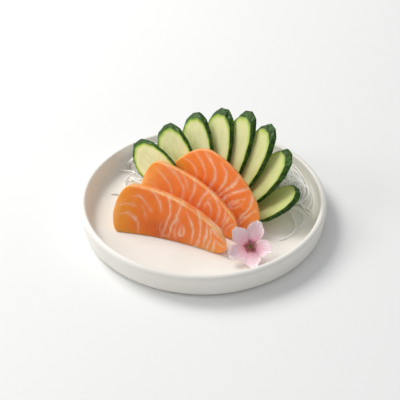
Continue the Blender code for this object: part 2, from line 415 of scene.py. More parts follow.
def petal_skin():
    """Pale pink petals: crimson at the foot, with fine lengthwise veins and a nearly white end."""
    nodes = Nodes("blossom_petals")
    color = nodes.ramp(nodes.field("outward"), [
        (0.0, (84, 0, 14)), (0.14, (142, 10, 40)), (0.24, (232, 166, 182)),
        (0.55, (246, 208, 216)), (1.0, (252, 234, 237)),
    ])
    color = nodes.mix(nodes.times(nodes.field("vein"), 0.55), color, (226, 150, 170))
    color = nodes.mix(nodes.times(nodes.cloud(200, 3), 0.3), color, (250, 228, 232))
    nodes.bump(nodes.combine("SUBTRACT", nodes.noise(900, 2), nodes.field("vein")), 0.0001)
    roughness = nodes.cloud(350, 2, 0.48, 0.6)
    return nodes.finish(
        Base_Color=color, Roughness=roughness, Sheen_Weight=0.15,
        Subsurface_Weight=0.25, Subsurface_Radius=(0.0015, 0.0008, 0.0009), Subsurface_Scale=1.0,
    )


def stamen_skin():
    """Crimson filaments that pale upwards, with yellow-brown anthers."""
    nodes = Nodes("blossom_stamens")
    filament = nodes.ramp(nodes.field("outward"), [(0.0, (104, 8, 26)), (1.0, (206, 104, 126))])
    grain = nodes.cloud(2200, 2)
    anther = nodes.mix(grain, (164, 92, 26), (220, 150, 60))
    color = nodes.mix(nodes.field("anther"), filament, anther)
    nodes.bump(nodes.noise(2600, 2), 0.00008)
    roughness = nodes.cloud(900, 2, 0.5, 0.7)
    return nodes.finish(Base_Color=color, Roughness=roughness)


def calyx_skin():
    """Red-green cup and stalk behind the petals."""
    nodes = Nodes("blossom_calyx")
    color = nodes.mix(nodes.span(nodes.noise(380, 3), 0.35, 0.65), (112, 52, 48), (120, 128, 60))
    nodes.bump(nodes.noise(1400, 2), 0.0001)
    roughness = nodes.cloud(500, 2, 0.45, 0.62)
    return nodes.finish(Base_Color=color, Roughness=roughness)


def studio_card():
    """Plain pale floor with a faint unevenness."""
    nodes = Nodes("studio_card")
    color = nodes.mix(nodes.cloud(3, 2), (241, 241, 240), (243, 243, 242))
    nodes.bump(nodes.noise(500, 2), 0.00003)
    return nodes.finish(Base_Color=color, Roughness=0.8, Specular_IOR_Level=0.2)


# Dish


DISH_STATIONS = 288
DISH_WANDER = 0.12 * MM


def arc(centre, radius, start_deg, end_deg, steps):
    """Points on an arc of the profile: centre plus radius times cosine and sine."""
    angles = np.radians(np.linspace(start_deg, end_deg, steps))
    return np.stack([centre[0] + radius * np.cos(angles), centre[1] + radius * np.sin(angles)], axis=-1)


def straight(start, end, steps):
    """Points evenly along a straight part of the profile."""
    share = np.linspace(0, 1, steps)[:, None]
    return np.array(start) * (1 - share) + np.array(end) * share


def dish_profile():
    """Radius and height: the floor, up the inner wall, over the rim, down and under to the foot."""
    rim, outer_round, fillet, base = 4.6 * MM, 3.0 * MM, 6.0 * MM, 5.0 * MM
    foot, recess, draft, gap = 70 * MM, 1.2 * MM, 0.9 * MM, 0.4 * MM
    foot_edge, foot_slope, hub = foot + 7.5 * MM, 1.5 * MM, 1 * MM
    inner = DISH_RADIUS - rim
    inner_round = rim - outer_round
    crest = DISH_HEIGHT
    wall_foot = (inner, FLOOR_HEIGHT + fillet)
    wall_top = (inner, crest - inner_round)
    pieces = [
        straight((hub, FLOOR_HEIGHT), (inner - fillet, FLOOR_HEIGHT), 24),
        arc((inner - fillet, FLOOR_HEIGHT + fillet), fillet, -90, 0, 12)[1:],
        straight(wall_foot, wall_top, 6)[1:],
        arc((inner + inner_round, crest - inner_round), inner_round, 180, 90, 7)[1:],
        arc((DISH_RADIUS - outer_round, crest - outer_round), outer_round, 90, 0, 11)[1:],
        straight((DISH_RADIUS, crest - outer_round), (DISH_RADIUS - draft, base + gap), 8)[1:],
        arc((DISH_RADIUS - draft - base, base + gap), base, 0, -82, 11)[1:],
        straight((foot_edge + foot_slope, gap), (foot_edge, 0.0), 4),
        straight((foot_edge, 0.0), (foot + recess, 0.0), 6)[1:],
        straight((foot + recess, 0.0), (foot, recess), 4)[1:],
        straight((foot, recess), (hub, recess), 12)[1:],
    ]
    return np.concatenate(pieces)


def dish():
    """The profile turned round Z, with a rim that wanders in two, three and five slow waves."""
    profile = dish_profile()
    angles = np.linspace(0, 2 * pi, DISH_STATIONS, endpoint=False)
    wander = np.sin(2 * angles + 0.6) + 0.6 * np.sin(3 * angles + 2.0) + 0.35 * np.sin(5 * angles)
    wander_up = np.roll(wander, 40)
    outer = ease(0.75 * DISH_RADIUS, DISH_RADIUS, profile[:, :1])
    lifted = ease(0.4 * DISH_HEIGHT, DISH_HEIGHT, profile[:, 1:])
    radius = profile[:, :1] - DISH_WANDER * outer * (1 + wander[None, :])
    height = profile[:, 1:] - DISH_WANDER * lifted * (1 + wander_up[None, :])
    rings = np.stack([radius * np.cos(angles), radius * np.sin(angles), height + 0 * radius], axis=-1)
    piece = put_mesh("ceramic_dish", closed_skin(rings, {}), matte_glaze())
    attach(piece, "root")
    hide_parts("plate")


# Salmon


SALMON_STATIONS = 250
SALMON_RADII = (1.6, 1.7, 2.8, 2.0)
SALMON_SIDE_POINTS = (120, 16, 60, 14)
SALMON = (
    # Lengths are in mm and leans in degrees. heel and tip stand on the dish's floor. For each mm of depth
    # the cut draws back by slant along the slice and its top falls by drop. heel_round is the heel's length,
    # fall_power says how late the back falls away, and the last row is the looks.
    # The band's strength is that of the light painted on the top edge.
    dict(
        node="salmon_front", heel=(-66.8, -25.6), tip=(15.1, -55.0), height=38.5, thickness=11.5, bend=3.5,
        heel_lean=30, tip_lean=18, slant=0.30, drop=0.30, heel_round=13, fall_power=2.3,
        band_width=3.0, edge_light_strength=1.3, fat_width=0.66, paleness=0.08, seed=1,
    ),
    dict(
        node="salmon_middle", heel=(-49.0, 10.9), tip=(23.0, -40.2), height=36.6, thickness=10.0, bend=2.0,
        heel_lean=22, tip_lean=18, slant=0.56, drop=0.45, heel_round=13, fall_power=2.8,
        band_width=2.1, edge_light_strength=0.95, fat_width=0.77, paleness=0.32, seed=2,
    ),
    dict(
        node="salmon_back", heel=(-29.5, 21.9), tip=(36.8, -35.2), height=48.0, thickness=7.8, bend=0.0,
        heel_lean=22, tip_lean=20, slant=0.66, drop=0.48, heel_round=36, fall_power=3.4,
        band_width=1.2, edge_light_strength=0.31, fat_width=0.88, paleness=0.16, seed=3,
    ),
)

FLAKE_LINES = {
    # Each line is its strength, then points in mm along the slice from its heel and up from the floor.
    "salmon_front": (
        (0.55, (3, 20.5), (10, 21.5), (17, 20)),
        (0.75, (5, 13), (10, 14.5), (14.5, 13.5), (18.5, 10), (20, 3)),
        (0.60, (13, 27.5), (19, 27), (24, 23), (28, 19)),
        (0.35, (20, 22), (23, 18), (25, 13)),
        (0.75, (25, 34), (31, 29.5), (34, 25), (35, 19)),
        (0.80, (36, 37), (40, 31), (41.5, 25), (42, 18), (40.5, 11), (39, 2)),
        (0.35, (37.5, 13), (36.5, 8), (39, 4), (44, 2.5)),
        (0.95, (51.5, 32), (49, 26), (47, 18), (44.5, 10), (44, 3)),
        (0.90, (51.5, 15), (53.5, 12), (53.5, 8), (52, 5.5), (50.8, 8), (51.5, 15)),
        (0.45, (49.5, 20), (48, 14), (47.5, 8), (49, 2)),
        (0.85, (54, 24), (57.5, 20), (60, 14), (60.5, 8), (59.5, 2)),
        (0.95, (60, 30), (64, 25), (66, 19), (66.5, 12), (65.5, 6), (63, 0)),
        (1.00, (88, 15), (81, 18), (75.5, 20), (71, 21)),
        (1.00, (71, 21), (71.7, 15), (70.8, 9), (68.5, 1)),
        (0.90, (86, 11.5), (80, 14.5), (75, 17), (75, 11), (73, 5), (71.5, 0)),
        (0.80, (85, 7), (81, 9), (78.3, 10), (77.5, 5), (75.5, 0)),
    ),
    "salmon_middle": (
        (0.45, (3, 17), (9, 17.5), (15, 13), (17, 7)),
        (0.65, (11, 28.5), (19, 25), (25, 20), (28, 12)),
        (0.75, (18, 34), (27, 30), (34, 25), (37, 20), (36, 10)),
        (0.50, (29, 35), (37, 28), (40, 22)),
        (0.75, (39, 36), (43, 30), (44.5, 25), (44, 19), (42, 8)),
        (1.00, (57, 29), (54, 24), (52, 18), (49, 10)),
        (0.95, (56, 29), (61, 26.5), (65.5, 23), (68.5, 18), (69, 11), (67, 3)),
        (0.80, (56, 12), (57.5, 18.5), (60, 18), (62.5, 14), (63, 6)),
        (0.60, (61, 25), (58, 21), (56, 15)),
        (0.90, (73, 21), (74, 15), (73, 7)),
        (1.00, (78, 17), (76, 12), (74, 5)),
        (0.85, (83, 12), (79, 10), (77, 3)),
    ),
    "salmon_back": (
        (0.45, (10, 31), (17, 31), (24, 26), (27, 18)),
        (0.60, (19, 40), (25, 37), (29.5, 33), (33, 28), (33.5, 22), (31, 12)),
        (0.80, (28, 44), (35, 39.5), (39.5, 35), (41.5, 29), (40.5, 22), (38, 12)),
        (0.85, (44, 41), (50, 36), (50.5, 30), (48.5, 23), (45, 16)),
        (1.00, (62, 39), (58.5, 31), (54, 24), (48, 16), (45, 8)),
        (1.00, (71.5, 33), (64.5, 28), (58.5, 23), (54, 17), (51, 9)),
        (0.80, (70, 24), (63, 19.5), (59, 15), (61, 12.5), (66, 16), (69, 21)),
        (0.75, (66, 21), (62, 16.5), (60, 10), (58, 3)),
        (1.00, (75.5, 29), (76.5, 22), (75, 16), (72, 11), (69, 2)),
        (1.00, (82, 20), (77.5, 13.5), (73, 7), (71, 0)),
        (0.85, (86, 12), (81, 8), (78, 2)),
    ),
}


def rounded_section(corners, radii, counts):
    """A closed loop round each station's four corners: straight sides with so many points each, and corners
    cut off at their radii by the curve (1-t)^2 start + 2t(1-t) corner + t^2 end.
    """
    after = np.roll(corners, -1, axis=1) - corners
    reach = np.linalg.norm(after, axis=2, keepdims=True) + 1e-9
    cut = 0.45 * np.minimum(reach, np.roll(reach, 1, axis=1))
    cut = np.minimum(np.array(radii)[:, None], cut)
    start = corners - np.roll(after / reach, 1, axis=1) * cut
    end = corners + after / reach * cut
    goal = np.roll(start, -1, axis=1)
    bend = np.linspace(0, 1, 9)[:, None]
    loop = []
    for k in range(4):
        first, corner, last, onward = (points[:, k, None] for points in (start, corners, end, goal))
        loop.append((1 - bend) ** 2 * first + 2 * bend * (1 - bend) * corner + bend**2 * last)
        side = np.linspace(0, 1, counts[k] + 2)[1:-1, None]
        loop.append(last * (1 - side) + onward * side)
    return np.concatenate(loop, axis=1)


def smooth_run(stops, steps=7):
    """A Catmull-Rom curve: cubics through the stops, parallel at each to the line between its neighbours."""
    stops = np.array(stops, dtype=float)
    stops = np.concatenate([2 * stops[:1] - stops[1:2], stops, 2 * stops[-1:] - stops[-2:-1]])
    t = np.linspace(0, 1, steps, endpoint=False)[None, :, None]
    a, b, c, d = (stops[k:len(stops) - 3 + k, None] for k in range(4))
    square = 2 * a - 5 * b + 4 * c - d
    cube = 3 * b - a - 3 * c + d
    curve = 0.5 * (2 * b + (c - a) * t + square * t**2 + cube * t**3)
    return np.concatenate([curve.reshape(-1, stops.shape[1]), stops[-2:-1]])


def line_distance(x, y, curve):
    """Shortest distance from each point to a run of straight steps, and how far along it that is."""
    start, step = curve[:-1], np.diff(curve, axis=0)
    reach = np.einsum("ij,ij->i", step, step)
    across, above = x[..., None] - start[:, 0], y[..., None] - start[:, 1]
    share = np.clip((across * step[:, 0] + above * step[:, 1]) / reach, 0, 1)
    gap = np.hypot(across - share * step[:, 0], above - share * step[:, 1])
    nearest = gap.argmin(axis=-1)
    place = np.take_along_axis(share, nearest[..., None], -1)[..., 0] + nearest
    return gap.min(axis=-1), place / len(start)


def fat_lines(x, y, lines, fat_width, seed):
    """Pale fat between the flakes: a bell-shaped line along each flake curve, with a faint wide glow.

    Each line swells and thins along its length and fades at its ends, and all are shaken by a ripple.
    """
    spot = np.stack([x, y, 0 * x], axis=-1)
    x = x + 0.9 * ripple(spot, 30, 10 + seed) + 0.3 * ripple(spot, 6, 20 + seed)
    y = y + 0.9 * ripple(spot, 26, 30 + seed) + 0.3 * ripple(spot, 7, 40 + seed)
    fat = 0 * x
    for index, (strength, *stops) in enumerate(lines):
        gap, place = line_distance(x, y, smooth_run(stops))
        width = fat_width * (1 + 0.22 * place) * (1 + 0.28 * np.sin(9 * place + 2.1 * index + seed))
        ends = 0.45 + 0.55 * ease(0.0, 0.25, place) * ease(1.0, 0.75, place)
        line = bell(gap, width) + 0.2 * bell(gap, 1.9)
        fat = np.maximum(fat, strength * ends * line)
    return np.clip(fat, 0, 1)


def salmon_outline(x, length, height, heel_round, fall_power):
    """Bottom and top of a slice's face in mm: a round heel, a back that falls away, and a pointed tip.

    The back is height * (1 - 0.58 * share^power). It rises from the heel as a power of a quarter ellipse,
    which is the straighter the longer the round is.
    """
    share = x / length
    back = height * (1 - 0.58 * np.clip(share, 0, 1) ** fall_power)
    middle = 0.38 * height
    top = middle + (back - middle) * quarter(x, 0, heel_round) ** (1 + heel_round / 50)
    bottom = middle * (1 - quarter(x, 0, 6))
    tip_height = 0.2 * height
    top = tip_height + (top - tip_height) * quarter(length - x, 0, 6.5)
    bottom = bottom + (tip_height - bottom) * (1 - quarter(length - x, 0, 11))
    return bottom, top


def salmon_slice(
    material, node, heel, tip, height, thickness, bend, heel_lean, tip_lean, slant, drop, heel_round,
    fall_power, band_width, edge_light_strength, fat_width, paleness, seed,
):
    """A slice that stands on its long edge, leans back and bends a little, carried from heel to tip.

    Each station is a rounded four-cornered section: the outline's bottom and top in front, and the same
    drawn back and lowered behind, because the knife went through the fillet aslant.
    """
    heel, tip = np.array(heel), np.array(tip)
    length = np.linalg.norm(tip - heel)
    along = np.append((tip - heel) / length, 0.0)
    back = np.array([-along[1], along[0], 0.0])
    x = 0.5 * length * (1 - np.cos(np.linspace(0.03, pi - 0.03, SALMON_STATIONS)))
    share = x / length
    bottom, top = salmon_outline(x, length, height, heel_round, fall_power)
    full = quarter(x, -0.4, 7) * quarter(length - x, -0.4, 8)
    thick = thickness * (0.2 + 0.8 * full) * (1 - 0.35 * share**3)
    front = 0.12 * (thickness - thick) * (1 - share)
    drawn = slant * ease(0.1, 0.6, share)
    band = band_width * full * ease(0.0, 0.16, share)
    behind = np.maximum(thick + front, 1.0)
    far_x = x + (slant - drawn) * behind
    far_top = salmon_outline(far_x, length, height, heel_round, fall_power)[1] - drop * behind + 0.5
    corners = np.stack([
        np.stack([front + 0.9 * np.sin(pi * share), bottom], axis=-1),
        np.stack([front + 0.3, top - band], axis=-1),
        np.stack([front + thick, np.maximum(far_top, bottom + 0.5)], axis=-1),
        np.stack([front + thick, bottom], axis=-1),
    ], axis=1)
    section = rounded_section(corners, SALMON_RADII, SALMON_SIDE_POINTS)
    depth, lift = section[..., 0], section[..., 1]
    x_grid = x[:, None] + 0 * lift
    spot = np.stack([x_grid, lift, depth], axis=-1)
    fat = fat_lines(x_grid, lift, FLAKE_LINES[node], fat_width, seed)
    belly = 1.3 * np.sin(pi * np.clip(lift / height, 0, 1)) * full[:, None]
    swell = 0.4 * ripple(spot, 30, 50 + seed) + 0.12 * ripple(spot, 7, 60 + seed) - 0.12 * fat
    toward = np.where(depth < (front + 0.5 * thick)[:, None], -1.0, 1.0)
    depth = depth + toward * (0.5 * belly + swell * ease(0, 3, lift))
    lean = np.radians(heel_lean + (tip_lean - heel_lean) * share)[:, None, None]
    run = x_grid - drawn[:, None] * depth
    base = np.append(heel, 0.0) + run[..., None] * along + (bend * np.sin(pi * share))[:, None, None] * back
    points = base + lift[..., None] * (back * np.sin(lean) + UP * np.cos(lean))
    points = points + depth[..., None] * (back * np.cos(lean) - UP * np.sin(lean))
    points[..., 2] = np.maximum(points[..., 2], 0.0) + FOOD_BASE
    across = (depth - front[:, None]) / thick[:, None]
    # The pale top band is painted light. It is strongest just over the top edge and at the front of the
    # section, and faint near the heel.
    over_edge = lift - (top - band)[:, None]
    rim = bell(over_edge, 1.3) * ease(0.55, 0.1, across)
    rim = np.maximum(rim, 0.35 * ease(-1.0, 0.5, over_edge))
    rim = edge_light_strength * rim * ease(0.02, 0.2, share)[:, None] * ease(0.8, 0.35, across - 0.4)
    # Painted shade, darkest low down and near the middle of the slice's length.
    shaded = ease(0.62, 0.15, lift / height) * bell(x_grid / length - 0.42, 0.2)
    fields = {
        "along": share[:, None] + 0 * lift,
        "fat": fat * (0.65 + 0.35 * ease(0.9, 0.5, across)),
        "rim": np.clip(rim, 0, 1),
        "painted_low_shade": 0.7 * shaded,
        # Each slice's paleness, plus painted glow over the first few mm of the heel.
        "light": 0 * lift + paleness + 0.5 * ease(6.0, 0.3, x)[:, None],
    }
    piece = put_mesh(node + "_flesh", closed_skin(points * MM, fields), material)
    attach(piece, "root")
    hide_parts(node)


def salmon():
    """The three slices, from the front to the back."""
    material = raw_salmon()
    for entry in SALMON:
        salmon_slice(material, **entry)


# Cucumber


CUCUMBER_COUNT = 8
CUCUMBER_HALF_WIDTH = 14.8
CUCUMBER_THICKNESS = 3.5
OVAL_POWER = 2.35
FAN_STOPS = (
    # At four places along the fan: the slice's centre in mm, its facing, lean, splay and twist in degrees,
    # and its half length in mm.
    (-35.5, 28.5, 21.5, -40, 28, -76, 8, 25.5),
    (0.0, 40.0, 29.0, -34, 33, -22, 15, 27.5),
    (29.5, 23.5, 32.5, -50, 27, 7, 13, 30.0),
    (51.0, -10.5, 18.5, -46, 44, 34, 34, 18.5),
)


def cucumber_frame(index):
    """Centre, long way, cross way and face way of a slice in the fan, its half length and its slant.

    Each is a cubic through the fan's stops. The slice leans back and faces round, then it is splayed in its
    own plane and twisted about its long way. The slant is that of the cut that makes the oval this long.
    """
    stops = run_through(np.array(FAN_STOPS), index / (CUCUMBER_COUNT - 1))
    centre, half_length = stops[:3], stops[7]
    facing, lean, splay, twist = np.radians(stops[3:7])
    turn = turn_about_z(facing)
    outward = turn @ np.array([0, -cos(lean), sin(lean)])
    upward = turn @ np.array([0, sin(lean), cos(lean)])
    sideways = turn @ np.array([1.0, 0, 0])
    long_way = upward * cos(splay) + sideways * sin(splay)
    cross_way = sideways * cos(splay) - upward * sin(splay)
    face_way = outward * cos(twist) - cross_way * sin(twist)
    cross_way = cross_way * cos(twist) + outward * sin(twist)
    slant = 0.8 * tan(acos(CUCUMBER_HALF_WIDTH / half_length))
    return centre, long_way, cross_way, face_way, half_length, slant


def seed_spots(across, along, draw):
    """Seeds in three long rows: pointed ovals, each a bell-shaped spot, with watery gel round them."""
    seed = 0 * across
    gel = 0 * across
    for row in (-0.34, 0.0, 0.34):
        for step in np.arange(-0.6, 0.61, 0.15):
            u = row + draw.normal(0, 0.045)
            v = step + draw.normal(0, 0.035)
            if draw.uniform() < 0.3:
                continue
            spot = ((across - u) / 0.055) ** 2 + ((along - v) / 0.045) ** 2
            seed = np.maximum(seed, draw.uniform(0.4, 1.0) * np.exp(-(spot**1.5)))
        gel = np.maximum(gel, bell(across - row, 0.13) * ease(0.75, 0.5, np.abs(along)))
    return seed, gel * (1 - seed)


def cucumber_slice(index, material):
    """An oval slice cut aslant, as rings from the middle of its face over the peel to that of its back.

    The outline is a slightly squared ellipse times a soft many-sided polygon. The peel bulges and has
    knobs, and the two faces sink a little towards their middles.
    """
    centre, long_way, cross_way, face_way, half_length, slant = cucumber_frame(index)
    draw = np.random.default_rng(100 + index)
    angle = np.linspace(0, 2 * pi, 120, endpoint=False)
    sides = 12 + index % 3
    corner = (angle * sides / (2 * pi) + draw.uniform()) % 1.0 - 0.5
    facet = cos(pi / sides) / np.cos(2 * pi / sides * corner)
    facet = 1 - 0.8 * (1 - facet) - 0.012 * np.sin(3 * angle + draw.uniform(0, 6))
    oval = np.abs(np.cos(angle)) ** OVAL_POWER + np.abs(np.sin(angle)) ** OVAL_POWER
    facet = facet * oval ** (-1 / OVAL_POWER)
    face_rows = np.linspace(0.02, 0.985, 34)
    peel_rows = np.linspace(0, 1, 12)
    back_rows = face_rows[::-2]
    spread = np.concatenate([face_rows, np.ones_like(peel_rows), back_rows])
    depth = np.concatenate([np.zeros_like(face_rows), peel_rows, np.ones_like(back_rows)])
    peel = np.concatenate([np.zeros_like(face_rows), np.ones_like(peel_rows), np.zeros_like(back_rows)])
    spread = spread[:, None] + 0 * angle
    depth = depth[:, None] * CUCUMBER_THICKNESS + 0 * angle
    bulge = np.sin(pi * depth / CUCUMBER_THICKNESS) * peel[:, None]
    reach = spread * (1 + (facet - 1) * spread**3)
    across = reach * np.sin(angle)
    along = reach * np.cos(angle)
    flat = np.stack([CUCUMBER_HALF_WIDTH * across, half_length * along, depth], axis=-1)
    knobs = (ripple(flat, 6.0, 200 + index) + 0.5 * ripple(flat, 3.0, 210 + index)) * peel[:, None]
    reach_out = 1 + (0.010 * bulge + 0.032 * knobs * bulge)
    face = 1 - peel[:, None]
    dish_in = 0.25 * (1 - spread**2) * face
    dish_in = dish_in + 0.12 * ripple(flat, 14, 220 + index) * (1 - spread**4)
    toward = np.where(depth > 0.5 * CUCUMBER_THICKNESS, -1.0, 1.0)
    sunk = depth + toward * dish_in
    long_part = half_length * along * reach_out + depth * slant
    cross_part = CUCUMBER_HALF_WIDTH * across * reach_out
    points = centre + long_part[..., None] * long_way + cross_part[..., None] * cross_way
    points = points - sunk[..., None] * face_way
    seed, gel = seed_spots(across, along, draw)
    fields = {
        "outward": spread + 0.02 * ripple(flat, 6, 240 + index),
        "peel": peel[:, None] + 0 * angle,
        "knob": np.clip(0.5 + 0.5 * knobs, 0, 1),
        "seed": seed * face,
        "gel": gel * face,
        "green": 0.75 * (index / (CUCUMBER_COUNT - 1)) ** 1.3 + 0 * seed,
    }
    node = f"cucumber_slice_{index + 1}"
    piece = put_mesh(node + "_cut", closed_skin(points * MM, fields), material)
    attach(piece, "root")
    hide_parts(node)


def cucumber_fan():
    """The slices from the left end of the fan to the right."""
    material = cucumber_skin()
    for index in range(CUCUMBER_COUNT):
        cucumber_slice(index, material)


# Daikon


SHRED_COUNT = 210
SHRED_BASE = FLOOR_HEIGHT / MM + 0.9
LOOSE_BASE = FLOOR_HEIGHT / MM + 0.75
LOOSE_SHREDS = (
    # Points along each shred in mm: x, y and height above where it would lie flat on the dish.
    ((57, 3, 3), (64, -10, 1.5), (66.5, -21, 0), (64, -29, 0.3), (59, -34, 0), (53, -37.5, 0)),
    ((66, 46, 4), (72, 38, 5), (76, 28, 3), (77, 17, 1), (73, 8, 0)),
    ((62, 52, 6), (70, 44, 7), (76, 33, 5), (80, 20, 2), (80.5, 6, 0.5), (77, -4, 0)),
    ((68, 6, 0.6), (74, 1, 0.2), (79, -6, 1)),
    ((58, 40, 8), (68, 33, 6), (73, 22, 4), (71, 10, 2), (74, -2, 1), (78, -12, 1)),
    ((70, 30, 3), (78, 24, 2), (79, 12, 2.5), (72, 4, 1.5), (64, 2, 0.5), (58, -6, 0)),
    ((55, 8, 2), (62, 0, 2.5), (70, -4, 0.5), (73, -14, 0), (69, -24, 0)),
    ((-50, 37, 4), (-55, 44, 2), (-61, 47, 0.6), (-67, 50, 0.2)),
    ((-46, 30, 4), (-53, 34, 2.5), (-57, 27, 1), (-55, 20, 0.5)),
    ((-44, 26, 3), (-51, 30, 3.5), (-57, 36, 1.5), (-62, 34, 0.5)),
    ((-48, 40, 5), (-56, 38, 3), (-60, 31, 0.8), (-58, 24, 0.3)),
    ((-54, 14, 1), (-61, 17, 0.4), (-70, 18.5, 0.2)),
    ((-45, 54, 3), (-52, 57, 1.5), (-56, 52, 0.6), (-53, 44, 1.5)),
)


def tube_skin(path, radius, sides, fields, flatness=1.0):
    """A strand: a circle, flattened from above, carried along a path and square to it."""
    ahead = np.gradient(path, axis=0)
    ahead /= np.linalg.norm(ahead, axis=1, keepdims=True) + 1e-12
    side = np.cross(ahead, np.array([0.12, 0.08, 1.0]))
    side /= np.linalg.norm(side, axis=1, keepdims=True) + 1e-12
    above = np.cross(side, ahead)
    angle = np.linspace(0, 2 * pi, sides, endpoint=False) + pi / sides
    circle = side[:, None] * np.cos(angle)[:, None] + flatness * above[:, None] * np.sin(angle)[:, None]
    rings = path[:, None] + circle * np.asarray(radius).reshape(-1, 1, 1)
    spread = {name: values[:, None] + 0 * angle for name, values in fields.items()}
    return closed_skin(rings, spread)


def heap_middle(share):
    """Middle line of the heap as cubics, and its half width and height as the root of a sine, in mm."""
    x = run_through((-52, -23, 30, 67), share)
    y = run_through((46, 54, 49, 8), share)
    full = np.sqrt(np.sin(pi * (0.02 + 0.96 * np.clip(share, 0, 1))))
    return x, y, 4 + 11 * full, 4 + 20 * full


def headroom(x, y):
    """Height in mm of the lowest slice's back over each place: its plane, rising outside its oval."""
    lowest = 90 + 0 * x
    for index in range(CUCUMBER_COUNT):
        centre, long_way, cross_way, face_way, half_length, slant = cucumber_frame(index)
        back = centre + long_way * (CUCUMBER_THICKNESS * slant) - face_way * (CUCUMBER_THICKNESS + 1.6)
        height = back[2] - ((x - back[0]) * face_way[0] + (y - back[1]) * face_way[1]) / face_way[2]
        reach = np.stack([x - back[0], y - back[1], height - back[2]], axis=-1)
        along = reach @ long_way / (half_length + 4)
        across = reach @ cross_way / (CUCUMBER_HALF_WIDTH + 4)
        lowest = np.minimum(lowest, height + 45 * np.maximum(np.hypot(along, across) - 1, 0))
    return lowest


def on_heap(share, around, scale, lift):
    """Places on the heap at a share of its length and an angle over it, shrunk by scale, raised by lift.

    It is half an ellipse with low bumps, carried along its middle line and pressed in under the fan.
    """
    x, y, half_width, height = heap_middle(share)
    ahead_x, ahead_y = (heap_middle(share + 0.01)[k] - heap_middle(share - 0.01)[k] for k in (0, 1))
    reach = np.hypot(ahead_x, ahead_y)
    bump = 1 + 0.06 * np.sin(31 * share + 2.3 * around) + 0.05 * np.sin(17 * share - 3.1 * around + 1.0)
    out = (half_width * scale * bump + lift) * np.cos(around)
    x = x - ahead_y / reach * out
    y = y + ahead_x / reach * out
    z = FOOD_BASE + (height * scale * bump + lift) * np.sin(around)
    ceiling = headroom(x, y) - 12 * (1 - scale) + 0.3 * lift
    return x, y, np.maximum(np.minimum(z, ceiling), FOOD_BASE)


def daikon_core():
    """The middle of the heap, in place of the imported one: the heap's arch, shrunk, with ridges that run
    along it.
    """
    share = np.linspace(0.015, 0.985, 120)[:, None]
    around = np.linspace(0, pi, 72)[None, :]
    ridges = 0.5 * np.sin(19 * around + 9 * np.sin(7 * share)) + 0.4 * np.sin(31 * around - 12 * share)
    x, y, z = on_heap(share + 0 * around, around + 0 * share, 0.86, ridges)
    rings = np.stack([x, y, z], axis=-1)
    under = rings[:, [-1, 0]].mean(axis=1, keepdims=True)
    under[..., 2] = FOOD_BASE
    return closed_skin(np.concatenate([rings, under], axis=1) * MM, {})


def blunt_ends(t):
    """Thickness along a shred: 1 along most of it and 0 at its ends, the root of a clipped sine."""
    return np.sqrt(np.clip(np.sin(pi * t) * 6, 0, 1))


def wave(draw, low, high, t):
    """A sine wave along a shred, with from low to high turns and a start of its own."""
    return np.sin(2 * pi * (draw.uniform(low, high) * t + draw.uniform()))


def heap_shreds():
    """Long shreds that wander over the heap: each path is a drift along it and slow waves across it."""
    draw = np.random.default_rng(400)
    t = np.linspace(0, 1, 44)
    skins = []
    for _ in range(SHRED_COUNT):
        start = draw.uniform(-0.02, 1.02)
        drift = draw.uniform(0.15, 0.5) * draw.choice((-1, 1))
        share = start + drift * t + 0.035 * wave(draw, 1, 2.5, t)
        if draw.uniform() < 0.5:
            share = 0.5 - 0.47 * np.cos(pi * np.clip(share, 0, 1))
        else:
            share = np.clip(share, 0.01, 0.99)
        around = draw.uniform(0.10, 0.8) * pi + 0.55 * wave(draw, 0.4, 1.1, t)
        around = around + 0.22 * wave(draw, 1.5, 3, t)
        around = np.clip(around, 0.04, 3.0)
        lift = 0.7 + draw.uniform(0, 1.2) + 0.6 * wave(draw, 1, 4, t)
        path = np.stack(on_heap(share, around, 0.9, lift), axis=-1)
        path[:, 2] = np.maximum(path[:, 2], SHRED_BASE)
        radius = draw.uniform(0.5, 0.72) * (0.25 + 0.75 * blunt_ends(t))
        skins.append(tube_skin(path * MM, radius * MM, 4, {}, 0.85))
    return joined(skins)


def loose_shreds():
    """Shreds that have slipped off the heap and lie on the dish, each a smooth run through its stops."""
    skins = []
    for index, stops in enumerate(LOOSE_SHREDS):
        path = smooth_run(stops, 12)
        t = np.linspace(0, 1, len(path))
        path[:, 2] += LOOSE_BASE
        radius = (0.62 + 0.06 * np.sin(3 * index)) * (0.3 + 0.7 * blunt_ends(t))
        skins.append(tube_skin(path * MM, radius * MM, 8, {}, 0.8))
    return joined(skins)


def daikon():
    """The heap's core, the shreds over it and the loose shreds beside it."""
    material = daikon_flesh()
    core = put_mesh("daikon_core", daikon_core(), material)
    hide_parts("daikon_heap")
    heap = put_mesh("daikon_shreds", heap_shreds(), material)
    loose = put_mesh("daikon_loose_shreds", loose_shreds(), material)
    for piece in (core, heap, loose):
        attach(piece, "root")


# Blossom


BLOSSOM_PLACE = (32.2, -54.0, 14.0)
BLOSSOM_TIP_DEG = 38
BLOSSOM_SWING_DEG = -12
PETAL_HALF_WIDTH = 6.4
PETAL_FOOT = 1.2
PETALS = (
    # Length in mm and turn in degrees.
    (15.6, -1), (18.6, 79), (17.0, 141), (16.4, 213), (16.2, 287),
)
STAMEN_COUNT = 18


def blossom_place(points):
    """Tips the upright blossom towards the diner, swings it about Z and moves it to its place, in mm."""
    tip = radians(BLOSSOM_TIP_DEG)
    turn = np.array([[1, 0, 0], [0, cos(tip), -sin(tip)], [0, sin(tip), cos(tip)]])
    return points @ turn.T @ turn_about_z(radians(BLOSSOM_SWING_DEG)).T + np.array(BLOSSOM_PLACE)


